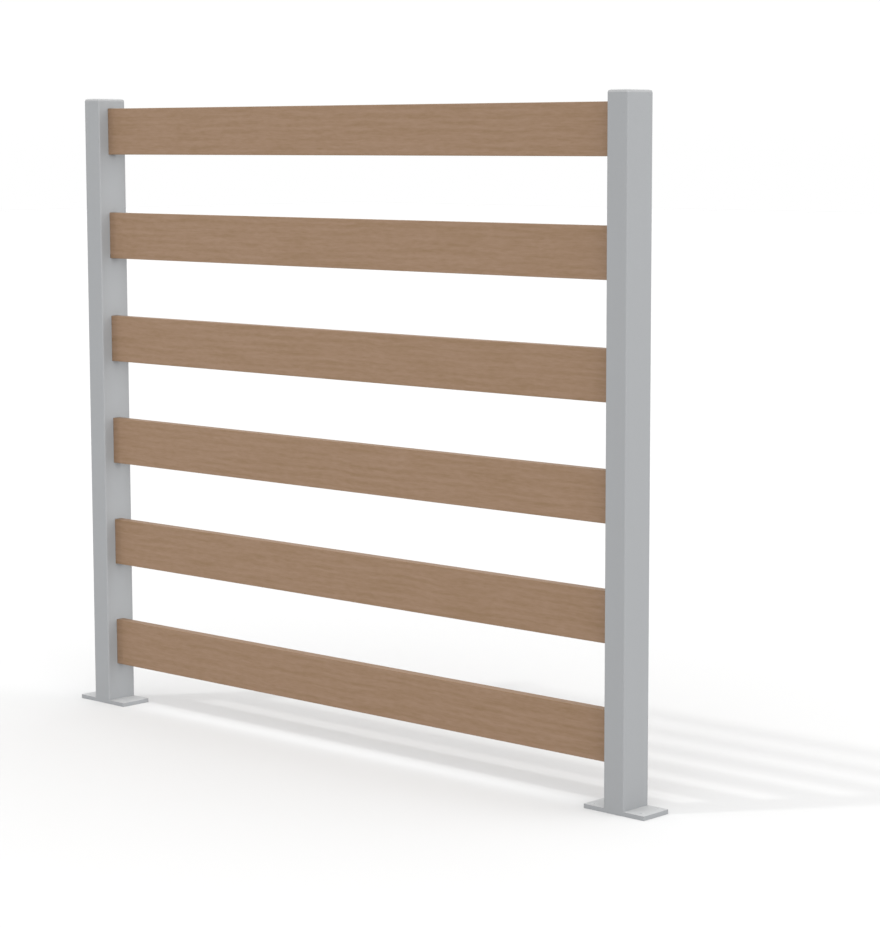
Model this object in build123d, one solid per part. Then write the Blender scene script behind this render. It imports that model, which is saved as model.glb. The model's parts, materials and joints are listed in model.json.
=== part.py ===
from build123d import *
import os

# Horizontal slat fence panel, in millimetres.
# Origin: middle of the left base plate's underside. +X to the right post, -Y front, +Z up.

# Posts: rectangular tubes
POST_WIDTH = 40.0
POST_DEPTH = 60.0
POST_WALL = 2.0
POST_CORNER_RADIUS = 2.2
POST_INNER_RADIUS = 0.5
POST_LENGTH = 1091.0
CLEAR_SPAN = 1181.0

# Base plates: flush with the posts at front and back, with a flange at each side
PLATE_FLANGE = 40.0
PLATE_THICKNESS = 7.0
PLATE_CORNER_RADIUS = 1.0
HOLE_SPACING_ALONG = 94.0
HOLE_SPACING_ACROSS = 40.0
HOLE_DIAMETER = 6.6
COUNTERSINK_DIAMETER = 12.0
COUNTERSINK_ANGLE = 90.0

# Slats: solid boards whose ends stand in slots in the posts
SLAT_COUNT = 6
SLAT_HEIGHT = 82.0
SLAT_THICKNESS = 18.0
SLAT_EDGE_RADIUS = 0.8
LOWEST_SLAT = 73.0
HOUSING_DEPTH = 15.0
SLOT_CLEARANCE = 0.3

# Post caps: lids with a two-step bevel and a hollow plug inside the tube
CAP_RIM = 1.2
CAP_SHOULDER_HEIGHT = 3.0
CAP_SHOULDER_INSET = 1.2
CAP_CROWN_HEIGHT = 1.3
CAP_CROWN_INSET = 3.0
CAP_CORNER_RADIUS = 1.0
CAP_PLUG_DEPTH = 10.0
CAP_PLUG_WALL = 2.0
CAP_CLEARANCE = 0.2
CAP_TO_SLAT = 2.0

# Derived places
POST_SPACING = CLEAR_SPAN + POST_WIDTH
POST_TOP = PLATE_THICKNESS + POST_LENGTH
HIGHEST_SLAT = POST_TOP - CAP_PLUG_DEPTH - CAP_TO_SLAT - SLAT_HEIGHT
SLAT_PITCH = (HIGHEST_SLAT - LOWEST_SLAT) / (SLAT_COUNT - 1)
SLAT_LENGTH = CLEAR_SPAN + 2 * HOUSING_DEPTH
SLAT_FLOORS = [LOWEST_SLAT + SLAT_PITCH * i for i in range(SLAT_COUNT)]


def post(facing):
    """Tube on z = PLATE_THICKNESS with a slot for each slat in the wall on the facing side."""
    outside = RectangleRounded(POST_WIDTH, POST_DEPTH, POST_CORNER_RADIUS)
    inside = RectangleRounded(POST_WIDTH - 2 * POST_WALL, POST_DEPTH - 2 * POST_WALL, POST_INNER_RADIUS)
    tube = Pos(0, 0, PLATE_THICKNESS) * extrude(outside - inside, POST_LENGTH)
    slot_height = SLAT_HEIGHT + SLOT_CLEARANCE
    slot = RectangleRounded(SLAT_THICKNESS + 2 * SLOT_CLEARANCE, slot_height, SLAT_EDGE_RADIUS)
    wall_middle = facing * (POST_WIDTH - POST_WALL) / 2
    for floor in SLAT_FLOORS:
        place = Plane(origin=(wall_middle, 0, floor + slot_height / 2), x_dir=(0, 1, 0), z_dir=(1, 0, 0))
        tube -= extrude(place * slot, POST_WALL, both=True)
    return tube


def base_plate():
    """Plate on z = 0 with four countersunk fixing holes."""
    outline = RectangleRounded(POST_WIDTH + 2 * PLATE_FLANGE, POST_DEPTH, PLATE_CORNER_RADIUS)
    plate = extrude(outline, PLATE_THICKNESS)
    hole = CounterSinkHole(
        HOLE_DIAMETER / 2, COUNTERSINK_DIAMETER / 2, PLATE_THICKNESS, COUNTERSINK_ANGLE
    )
    for place in GridLocations(HOLE_SPACING_ALONG, HOLE_SPACING_ACROSS, 2, 2):
        plate -= Pos(0, 0, PLATE_THICKNESS) * place * hole
    return plate


def cap_outline(height, inset, radius):
    """The lid's outline at a height above the tube's end, drawn in from the post's faces."""
    return Pos(0, 0, height) * RectangleRounded(POST_WIDTH - 2 * inset, POST_DEPTH - 2 * inset, radius)


def post_cap():
    """Lid on the tube's end at z = POST_TOP, with its plug hanging inside the tube."""
    shoulder_top = CAP_RIM + CAP_SHOULDER_HEIGHT
    base = cap_outline(0, 0, POST_CORNER_RADIUS)
    rim = cap_outline(CAP_RIM, 0, POST_CORNER_RADIUS)
    shoulder = cap_outline(shoulder_top, CAP_SHOULDER_INSET, CAP_CORNER_RADIUS)
    crown = cap_outline(
        shoulder_top + CAP_CROWN_HEIGHT, CAP_SHOULDER_INSET + CAP_CROWN_INSET, CAP_CORNER_RADIUS
    )
    lid = loft([base, rim, shoulder, crown], ruled=True)
    plug_width = POST_WIDTH - 2 * (POST_WALL + CAP_CLEARANCE)
    plug_depth = POST_DEPTH - 2 * (POST_WALL + CAP_CLEARANCE)
    skirt = RectangleRounded(plug_width, plug_depth, POST_INNER_RADIUS)
    hollow = Rectangle(plug_width - 2 * CAP_PLUG_WALL, plug_depth - 2 * CAP_PLUG_WALL)
    return Pos(0, 0, POST_TOP) * (lid + extrude(skirt - hollow, -CAP_PLUG_DEPTH))


def slat(floor):
    """Board with rounded long edges, lower edge on z = floor, housed in both posts."""
    start = POST_WIDTH / 2 - HOUSING_DEPTH
    place = Plane(origin=(start, 0, floor + SLAT_HEIGHT / 2), x_dir=(0, 1, 0), z_dir=(1, 0, 0))
    return extrude(place * RectangleRounded(SLAT_THICKNESS, SLAT_HEIGHT, SLAT_EDGE_RADIUS), SLAT_LENGTH)


right = Pos(POST_SPACING, 0, 0)
nodes = {
    "left_post": post(1),
    "right_post": right * post(-1),
    "left_base_plate": base_plate(),
    "right_base_plate": right * base_plate(),
    "left_post_cap": post_cap(),
    "right_post_cap": right * post_cap(),
}
for number, floor in enumerate(SLAT_FLOORS, start=1):
    nodes[f"slat_{number}"] = slat(floor)

os.makedirs("parts", exist_ok=True)
for name, solid in nodes.items():
    export_step(solid, f"parts/{name}.step")
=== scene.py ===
import json
import math

import bmesh
import bpy
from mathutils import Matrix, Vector


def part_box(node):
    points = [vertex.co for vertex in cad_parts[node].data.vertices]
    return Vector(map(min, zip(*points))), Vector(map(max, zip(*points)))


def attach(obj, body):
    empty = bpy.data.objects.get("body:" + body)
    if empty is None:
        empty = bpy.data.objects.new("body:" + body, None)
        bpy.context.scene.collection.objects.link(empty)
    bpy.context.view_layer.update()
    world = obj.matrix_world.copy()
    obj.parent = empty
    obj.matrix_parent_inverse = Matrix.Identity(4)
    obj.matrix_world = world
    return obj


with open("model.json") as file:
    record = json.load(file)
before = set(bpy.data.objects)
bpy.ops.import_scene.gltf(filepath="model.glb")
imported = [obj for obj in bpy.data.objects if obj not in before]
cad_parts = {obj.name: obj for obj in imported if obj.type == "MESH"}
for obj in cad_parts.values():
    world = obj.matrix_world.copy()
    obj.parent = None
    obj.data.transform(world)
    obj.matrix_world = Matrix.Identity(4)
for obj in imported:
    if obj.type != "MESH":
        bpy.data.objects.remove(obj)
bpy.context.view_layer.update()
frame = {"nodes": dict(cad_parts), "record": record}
scene = bpy.context.scene
nodes = frame["nodes"]
mounts = {mount["name"]: mount for mount in frame["record"]["mounts"]}

# Camera, in the row frame: metres, degrees and millimetres
CAMERA_PLACE = Vector((3.7284, -3.0781, 1.02))
CAMERA_YAW = 42.097
CAMERA_PITCH = 6.897
CAMERA_LENS = 102.06
CAMERA_SENSOR = 36.0
CAMERA_SHIFT_X = -0.0586
CAMERA_REACH = 200.0

# Light: white surround, brighter overhead and to the front right, a soft sun, a weak strip on the left post
OVERHEAD = Vector((0.0, 0.0, 1.0))
SKY_OVERHEAD_GAIN = 0.45
SKY_FILL_GAIN = 1.9
SKY_FILL_FROM = Vector((0.94, -0.34, 0.0))
SUN_STRENGTH = 0.6
SUN_SOFTNESS = 3.0
SUN_FROM = Vector((-0.35, -0.45, 0.82))
STRIP_POWER = 0.22
STRIP_WIDTH = 0.1
STRIP_HEIGHT = 1.3
STRIP_SPREAD = 10.0
STRIP_PLACE = Vector((3.0, -0.5, 0.62))
STRIP_AIM = Vector((0.0, 0.0, 0.45))

# Colours, as displayed
METAL_COLOUR = (0.526, 0.5325, 0.539)
# The bevel and top colours are painted light: the coat is drawn paler where its faces look up
METAL_BEVEL_PAINTED_LIGHT = (0.557, 0.56, 0.563)
METAL_TOP_PAINTED_LIGHT = (0.645, 0.648, 0.65)
SCREW_COLOUR = (0.66, 0.663, 0.666)
SCREW_SHADE = 0.96
WOOD_PALE = (0.5095, 0.416, 0.339)
WOOD_MID = (0.4915, 0.397, 0.3145)
WOOD_DARK = (0.4645, 0.371, 0.277)
FLOOR_COLOUR = (0.775, 0.775, 0.775)

# Floor, in metres
FLOOR_SIZE = 60.0
FLOOR_MIDDLE = (0.6, 0.0, 0.0)

# Coating: broad random patches, their share beside the painted light of a face's upward turn, fine texture,
# brushed screws
PATCHES_PER_METRE = 14.0
PATCH_SHARE = 0.04
TEXTURE_PER_METRE = 900.0
BRUSH_PER_METRE = 1800.0
BRUSH_STRETCH = 0.2

# Wood grain: growth rings, lines, flecks and pores, and how far they stretch and sway along the slat
RING_SPACING = 0.012
WAVE_FACTOR = 20.0
RING_TILT = 20.0
RING_SHARE = 0.14
GRAIN_PER_METRE = 190.0
GRAIN_STRETCH = 0.05
FLECK_PER_METRE = 320.0
FLECK_STRETCH = 0.2
FLECK_SHARE = 0.42
PORE_PER_METRE = 1300.0
PORE_STRETCH = 0.025
PORE_SHARE = 0.25
SWAY_PER_METRE = 7.0
GRAIN_SWAY = 0.012
GRAIN_STEP = 0.37

# Screws in the base plates' countersunk holes, in metres
HEAD_RADIUS = 0.00595
HEAD_DOME = 0.0006
SHANK_RADIUS = 0.003
SOCKET_FLATS = 0.003
SOCKET_DEPTH = 0.00051
HEAD_RINGS = (0.5, 0.65, 0.8, 0.92, 1.0)
SCREW_SIDES = 36
SHARP_ANGLE = 30.0


def linear(colour):
    """A displayed colour as the linear value that a shader takes."""
    bent = [c / 12.92 if c <= 0.04045 else ((c + 0.055) / 1.055) ** 2.4 for c in colour]
    return (*bent, 1.0)


class Shader:
    """A material and short ways to add and join its nodes."""

    def __init__(self, name, roughness, specular):
        self.material = bpy.data.materials.new(name)
        self.material.use_nodes = True
        self.tree = self.material.node_tree
        self.surface = self.tree.nodes["Principled BSDF"]
        self.surface.inputs["Roughness"].default_value = roughness
        self.surface.inputs["Specular IOR Level"].default_value = specular

    def add(self, kind, **settings):
        node = self.tree.nodes.new(kind)
        for key, value in settings.items():
            setattr(node, key, value)
        return node

    def join(self, source, target):
        self.tree.links.new(source, target)

    def place(self, shift=(0.0, 0.0, 0.0)):
        """The point being shaded, in the row frame, moved by shift."""
        point = self.add("ShaderNodeTexCoord")
        moved = self.add("ShaderNodeMapping")
        moved.inputs["Location"].default_value = shift
        self.join(point.outputs["Object"], moved.inputs["Vector"])
        return moved.outputs["Vector"]

    def noise(self, vector, per_metre, stretch=1.0, detail=2.0):
        """Noise that is drawn out along X where stretch is below 1."""
        along = self.add("ShaderNodeMapping")
        along.inputs["Scale"].default_value = (stretch, 1.0, 1.0)
        self.join(vector, along.inputs["Vector"])
        node = self.add("ShaderNodeTexNoise")
        node.inputs["Scale"].default_value = per_metre
        node.inputs["Detail"].default_value = detail
        self.join(along.outputs["Vector"], node.inputs["Vector"])
        return node

    def blend(self, a, b, share):
        """a and b added up, with b's share of the whole."""
        kept = self.add("ShaderNodeMath", operation="MULTIPLY")
        kept.inputs[1].default_value = 1.0 - share
        self.join(a, kept.inputs[0])
        total = self.add("ShaderNodeMath", operation="MULTIPLY_ADD")
        total.inputs[1].default_value = share
        self.join(b, total.inputs[0])
        self.join(kept.outputs["Value"], total.inputs[2])
        return total.outputs["Value"]

    def colour(self, factor, stops):
        """Base colour from a ramp of places and displayed colours."""
        node = self.add("ShaderNodeValToRGB")
        elements = node.color_ramp.elements
        while len(elements) < len(stops):
            elements.new(0.5)
        for element, (at, colour) in zip(elements, stops):
            element.position = at
            element.color = linear(colour)
        self.join(factor, node.inputs["Fac"])
        self.join(node.outputs["Color"], self.surface.inputs["Base Color"])

    def roughness(self, factor, start, end):
        """Roughness that runs from start to end with the factor."""
        node = self.add("ShaderNodeMapRange")
        node.inputs["To Min"].default_value = start
        node.inputs["To Max"].default_value = end
        self.join(factor, node.inputs["Value"])
        self.join(node.outputs["Result"], self.surface.inputs["Roughness"])

    def bump(self, height, strength, distance):
        node = self.add("ShaderNodeBump")
        node.inputs["Strength"].default_value = strength
        node.inputs["Distance"].default_value = distance
        self.join(height, node.inputs["Height"])
        self.join(node.outputs["Normal"], self.surface.inputs["Normal"])


def coated_metal():
    """Light-grey satin powder coat with a fine texture, with painted light: paler where it looks up."""
    shader = Shader("coated_metal", roughness=0.55, specular=0.3)
    point = shader.place()
    patches = shader.noise(point, PATCHES_PER_METRE).outputs["Fac"]
    facing = shader.add("ShaderNodeNewGeometry")
    split = shader.add("ShaderNodeSeparateXYZ")
    shader.join(facing.outputs["True Normal"], split.inputs["Vector"])
    # Painted light: the face's upward turn, with a small share of random patches, picks the paler bevel and
    # top colours
    painted_light_and_patches = shader.blend(split.outputs["Z"], patches, PATCH_SHARE)
    shader.colour(painted_light_and_patches, [(0.08, METAL_COLOUR), (0.4, METAL_BEVEL_PAINTED_LIGHT), (0.97, METAL_TOP_PAINTED_LIGHT)])
    shader.roughness(patches, start=0.48, end=0.62)
    texture = shader.noise(point, TEXTURE_PER_METRE).outputs["Fac"]
    shader.bump(texture, strength=0.03, distance=0.0002)
    return shader.material


def screw_steel():
    """Coated steel of the screws, a little paler than the plates."""
    shader = Shader("screw_steel", roughness=0.4, specular=0.3)
    point = shader.place()
    brushed = shader.noise(point, BRUSH_PER_METRE, BRUSH_STRETCH).outputs["Fac"]
    darker = [c * SCREW_SHADE for c in SCREW_COLOUR]
    shader.colour(brushed, [(0.3, darker), (0.7, SCREW_COLOUR)])
    shader.roughness(brushed, start=0.35, end=0.48)
    return shader.material


def slat_wood(number, floor):
    """Matte wood: swaying growth rings and grain along the slat, with short flecks and fine pores."""
    shader = Shader(f"wood_slat_{number}", roughness=0.62, specular=0.25)
    point = shader.place((number * GRAIN_STEP, number * GRAIN_STEP, -floor))
    wander = shader.noise(point, SWAY_PER_METRE)
    centred = shader.add("ShaderNodeVectorMath", operation="SUBTRACT")
    centred.inputs[1].default_value = (0.5, 0.5, 0.5)
    shader.join(wander.outputs["Color"], centred.inputs[0])
    sway = shader.add("ShaderNodeVectorMath", operation="SCALE")
    sway.inputs["Scale"].default_value = GRAIN_SWAY
    shader.join(centred.outputs["Vector"], sway.inputs[0])
    bent = shader.add("ShaderNodeVectorMath", operation="ADD")
    shader.join(point, bent.inputs[0])
    shader.join(sway.outputs["Vector"], bent.inputs[1])

    tilted = shader.add("ShaderNodeMapping")
    tilted.inputs["Rotation"].default_value = (math.radians(RING_TILT), 0.0, 0.0)
    shader.join(bent.outputs["Vector"], tilted.inputs["Vector"])
    rings = shader.add("ShaderNodeTexWave", bands_direction="Z")
    rings.inputs["Scale"].default_value = math.tau / (WAVE_FACTOR * RING_SPACING)
    shader.join(tilted.outputs["Vector"], rings.inputs["Vector"])
    lines = shader.noise(bent.outputs["Vector"], GRAIN_PER_METRE, GRAIN_STRETCH)
    flecks = shader.noise(bent.outputs["Vector"], FLECK_PER_METRE, FLECK_STRETCH)
    grain = shader.blend(lines.outputs["Fac"], rings.outputs["Fac"], RING_SHARE)
    grain = shader.blend(grain, flecks.outputs["Fac"], FLECK_SHARE)
    pores = shader.noise(bent.outputs["Vector"], PORE_PER_METRE, PORE_STRETCH)
    grain = shader.blend(grain, pores.outputs["Fac"], PORE_SHARE)
    shader.colour(grain, [(0.35, WOOD_DARK), (0.5, WOOD_MID), (0.635, WOOD_PALE)])
    shader.roughness(grain, start=0.7, end=0.55)
    shader.bump(grain, strength=0.15, distance=0.0004)
    return shader.material


def put(obj, material):
    obj.data.materials.clear()
    obj.data.materials.append(material)


def ring(form, radius, height, six_sided=False):
    """Points round the screw's axis, on a hexagon whose half width is radius if it is six-sided."""
    points = []
    for i in range(SCREW_SIDES):
        angle = math.tau * i / SCREW_SIDES
        reach = radius
        if six_sided:
            reach = radius / math.cos((angle + math.pi / 6) % (math.pi / 3) - math.pi / 6)
        points.append(form.verts.new((reach * math.cos(angle), reach * math.sin(angle), height)))
    return points


def screw_mesh(depth):
    """Raised countersunk screw, its head's edge and hexagon socket's floor at z = 0, its end at -depth."""
    form = bmesh.new()
    rings = [
        ring(form, SOCKET_FLATS / 2, 0.0, six_sided=True),
        ring(form, SOCKET_FLATS / 2, SOCKET_DEPTH, six_sided=True),
    ]
    for share in HEAD_RINGS:
        rings.append(ring(form, HEAD_RADIUS * share, HEAD_DOME * (1.0 - share**2)))
    rings.append(ring(form, SHANK_RADIUS, SHANK_RADIUS - HEAD_RADIUS))
    rings.append(ring(form, SHANK_RADIUS, -depth))
    for inner, outer in zip(rings, rings[1:]):
        for i in range(SCREW_SIDES):
            j = (i + 1) % SCREW_SIDES
            form.faces.new((inner[i], outer[i], outer[j], inner[j]))
    form.faces.new(rings[0])
    form.faces.new(reversed(rings[-1]))
    bmesh.ops.recalc_face_normals(form, faces=form.faces)
    for face in form.faces:
        face.smooth = True
    for edge in form.edges:
        edge.smooth = edge.calc_face_angle() < math.radians(SHARP_ANGLE)
    mesh = bpy.data.meshes.new("base_screw")
    form.to_mesh(mesh)
    form.free()
    return mesh


# Materials on every CAD node
metal = coated_metal()
for name, obj in nodes.items():
    if name.startswith("slat_"):
        low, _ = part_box(name)
        put(obj, slat_wood(int(name.split("_")[1]), low[2]))
    else:
        put(obj, metal)

# Screws in the base plates
steel = screw_steel()
for side in ("left", "right"):
    bottom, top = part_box(side + "_base_plate")
    pattern = mounts[side + "_base_bolts"]
    half_along = pattern["dims"]["spacing_x_mm"] / 2000.0
    half_across = pattern["dims"]["spacing_y_mm"] / 2000.0
    mesh = screw_mesh(top[2] - bottom[2])
    mesh.materials.append(steel)
    corners = [(x, y) for x in (-half_along, half_along) for y in (-half_across, half_across)]
    for number, (x, y) in enumerate(corners, start=1):
        screw = bpy.data.objects.new(f"{side}_base_screw_{number}", mesh)
        screw.location = (pattern["pos_m"][0] + x, pattern["pos_m"][1] + y, top[2])
        scene.collection.objects.link(screw)
        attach(screw, "root")

# Plain pale floor
bpy.ops.mesh.primitive_plane_add(size=FLOOR_SIZE, location=FLOOR_MIDDLE)
floor = bpy.context.object
floor.name = "floor"
floor_shader = Shader("floor", roughness=0.9, specular=0.0)
floor_shader.surface.inputs["Base Color"].default_value = linear(FLOOR_COLOUR)
put(floor, floor_shader.material)


def studio_world():
    """A white surround that gains brightness towards the fill's side and overhead."""
    world = bpy.data.worlds.new("studio")
    world.use_nodes = True
    tree = world.node_tree
    background = tree.nodes["Background"]
    background.inputs["Color"].default_value = (1.0, 1.0, 1.0, 1.0)
    direction = tree.nodes.new("ShaderNodeTexCoord")
    level = None
    for way, gain in ((SKY_FILL_FROM, SKY_FILL_GAIN), (OVERHEAD, SKY_OVERHEAD_GAIN)):
        towards = tree.nodes.new("ShaderNodeVectorMath")
        towards.operation = "DOT_PRODUCT"
        towards.inputs[1].default_value = way.normalized()
        tree.links.new(direction.outputs["Generated"], towards.inputs[0])
        ahead = tree.nodes.new("ShaderNodeMath")
        ahead.operation = "MAXIMUM"
        ahead.inputs[1].default_value = 0.0
        tree.links.new(towards.outputs["Value"], ahead.inputs[0])
        more = tree.nodes.new("ShaderNodeMath")
        more.operation = "MULTIPLY_ADD"
        more.inputs[1].default_value = gain
        more.inputs[2].default_value = 1.0
        tree.links.new(ahead.outputs["Value"], more.inputs[0])
        if level:
            tree.links.new(level, more.inputs[2])
        level = more.outputs["Value"]
    tree.links.new(level, background.inputs["Strength"])
    return world


# Studio light
scene.world = studio_world()
sun_data = bpy.data.lights.new("sun", "SUN")
sun_data.energy = SUN_STRENGTH
sun_data.angle = math.radians(SUN_SOFTNESS)
sun = bpy.data.objects.new("sun", sun_data)
sun.rotation_euler = (-SUN_FROM).to_track_quat("-Z", "Y").to_euler()
scene.collection.objects.link(sun)
strip_data = bpy.data.lights.new("strip", "AREA")
strip_data.energy = STRIP_POWER
strip_data.shape = "RECTANGLE"
strip_data.size = STRIP_WIDTH
strip_data.size_y = STRIP_HEIGHT
strip_data.spread = math.radians(STRIP_SPREAD)
strip = bpy.data.objects.new("strip", strip_data)
strip.location = STRIP_PLACE
strip.rotation_euler = (STRIP_AIM - STRIP_PLACE).to_track_quat("-Z", "Y").to_euler()
strip.visible_camera = False
scene.collection.objects.link(strip)

# Camera at the photo's angle
camera_data = bpy.data.cameras.new("camera")
camera_data.sensor_width = CAMERA_SENSOR
camera_data.lens = CAMERA_LENS
camera_data.shift_x = CAMERA_SHIFT_X
camera_data.clip_end = CAMERA_REACH
camera = bpy.data.objects.new("camera", camera_data)
camera.location = CAMERA_PLACE
camera.rotation_euler = (math.radians(90.0 - CAMERA_PITCH), 0.0, math.radians(CAMERA_YAW))
scene.collection.objects.link(camera)
scene.camera = camera
scene.view_settings.view_transform = "Standard"
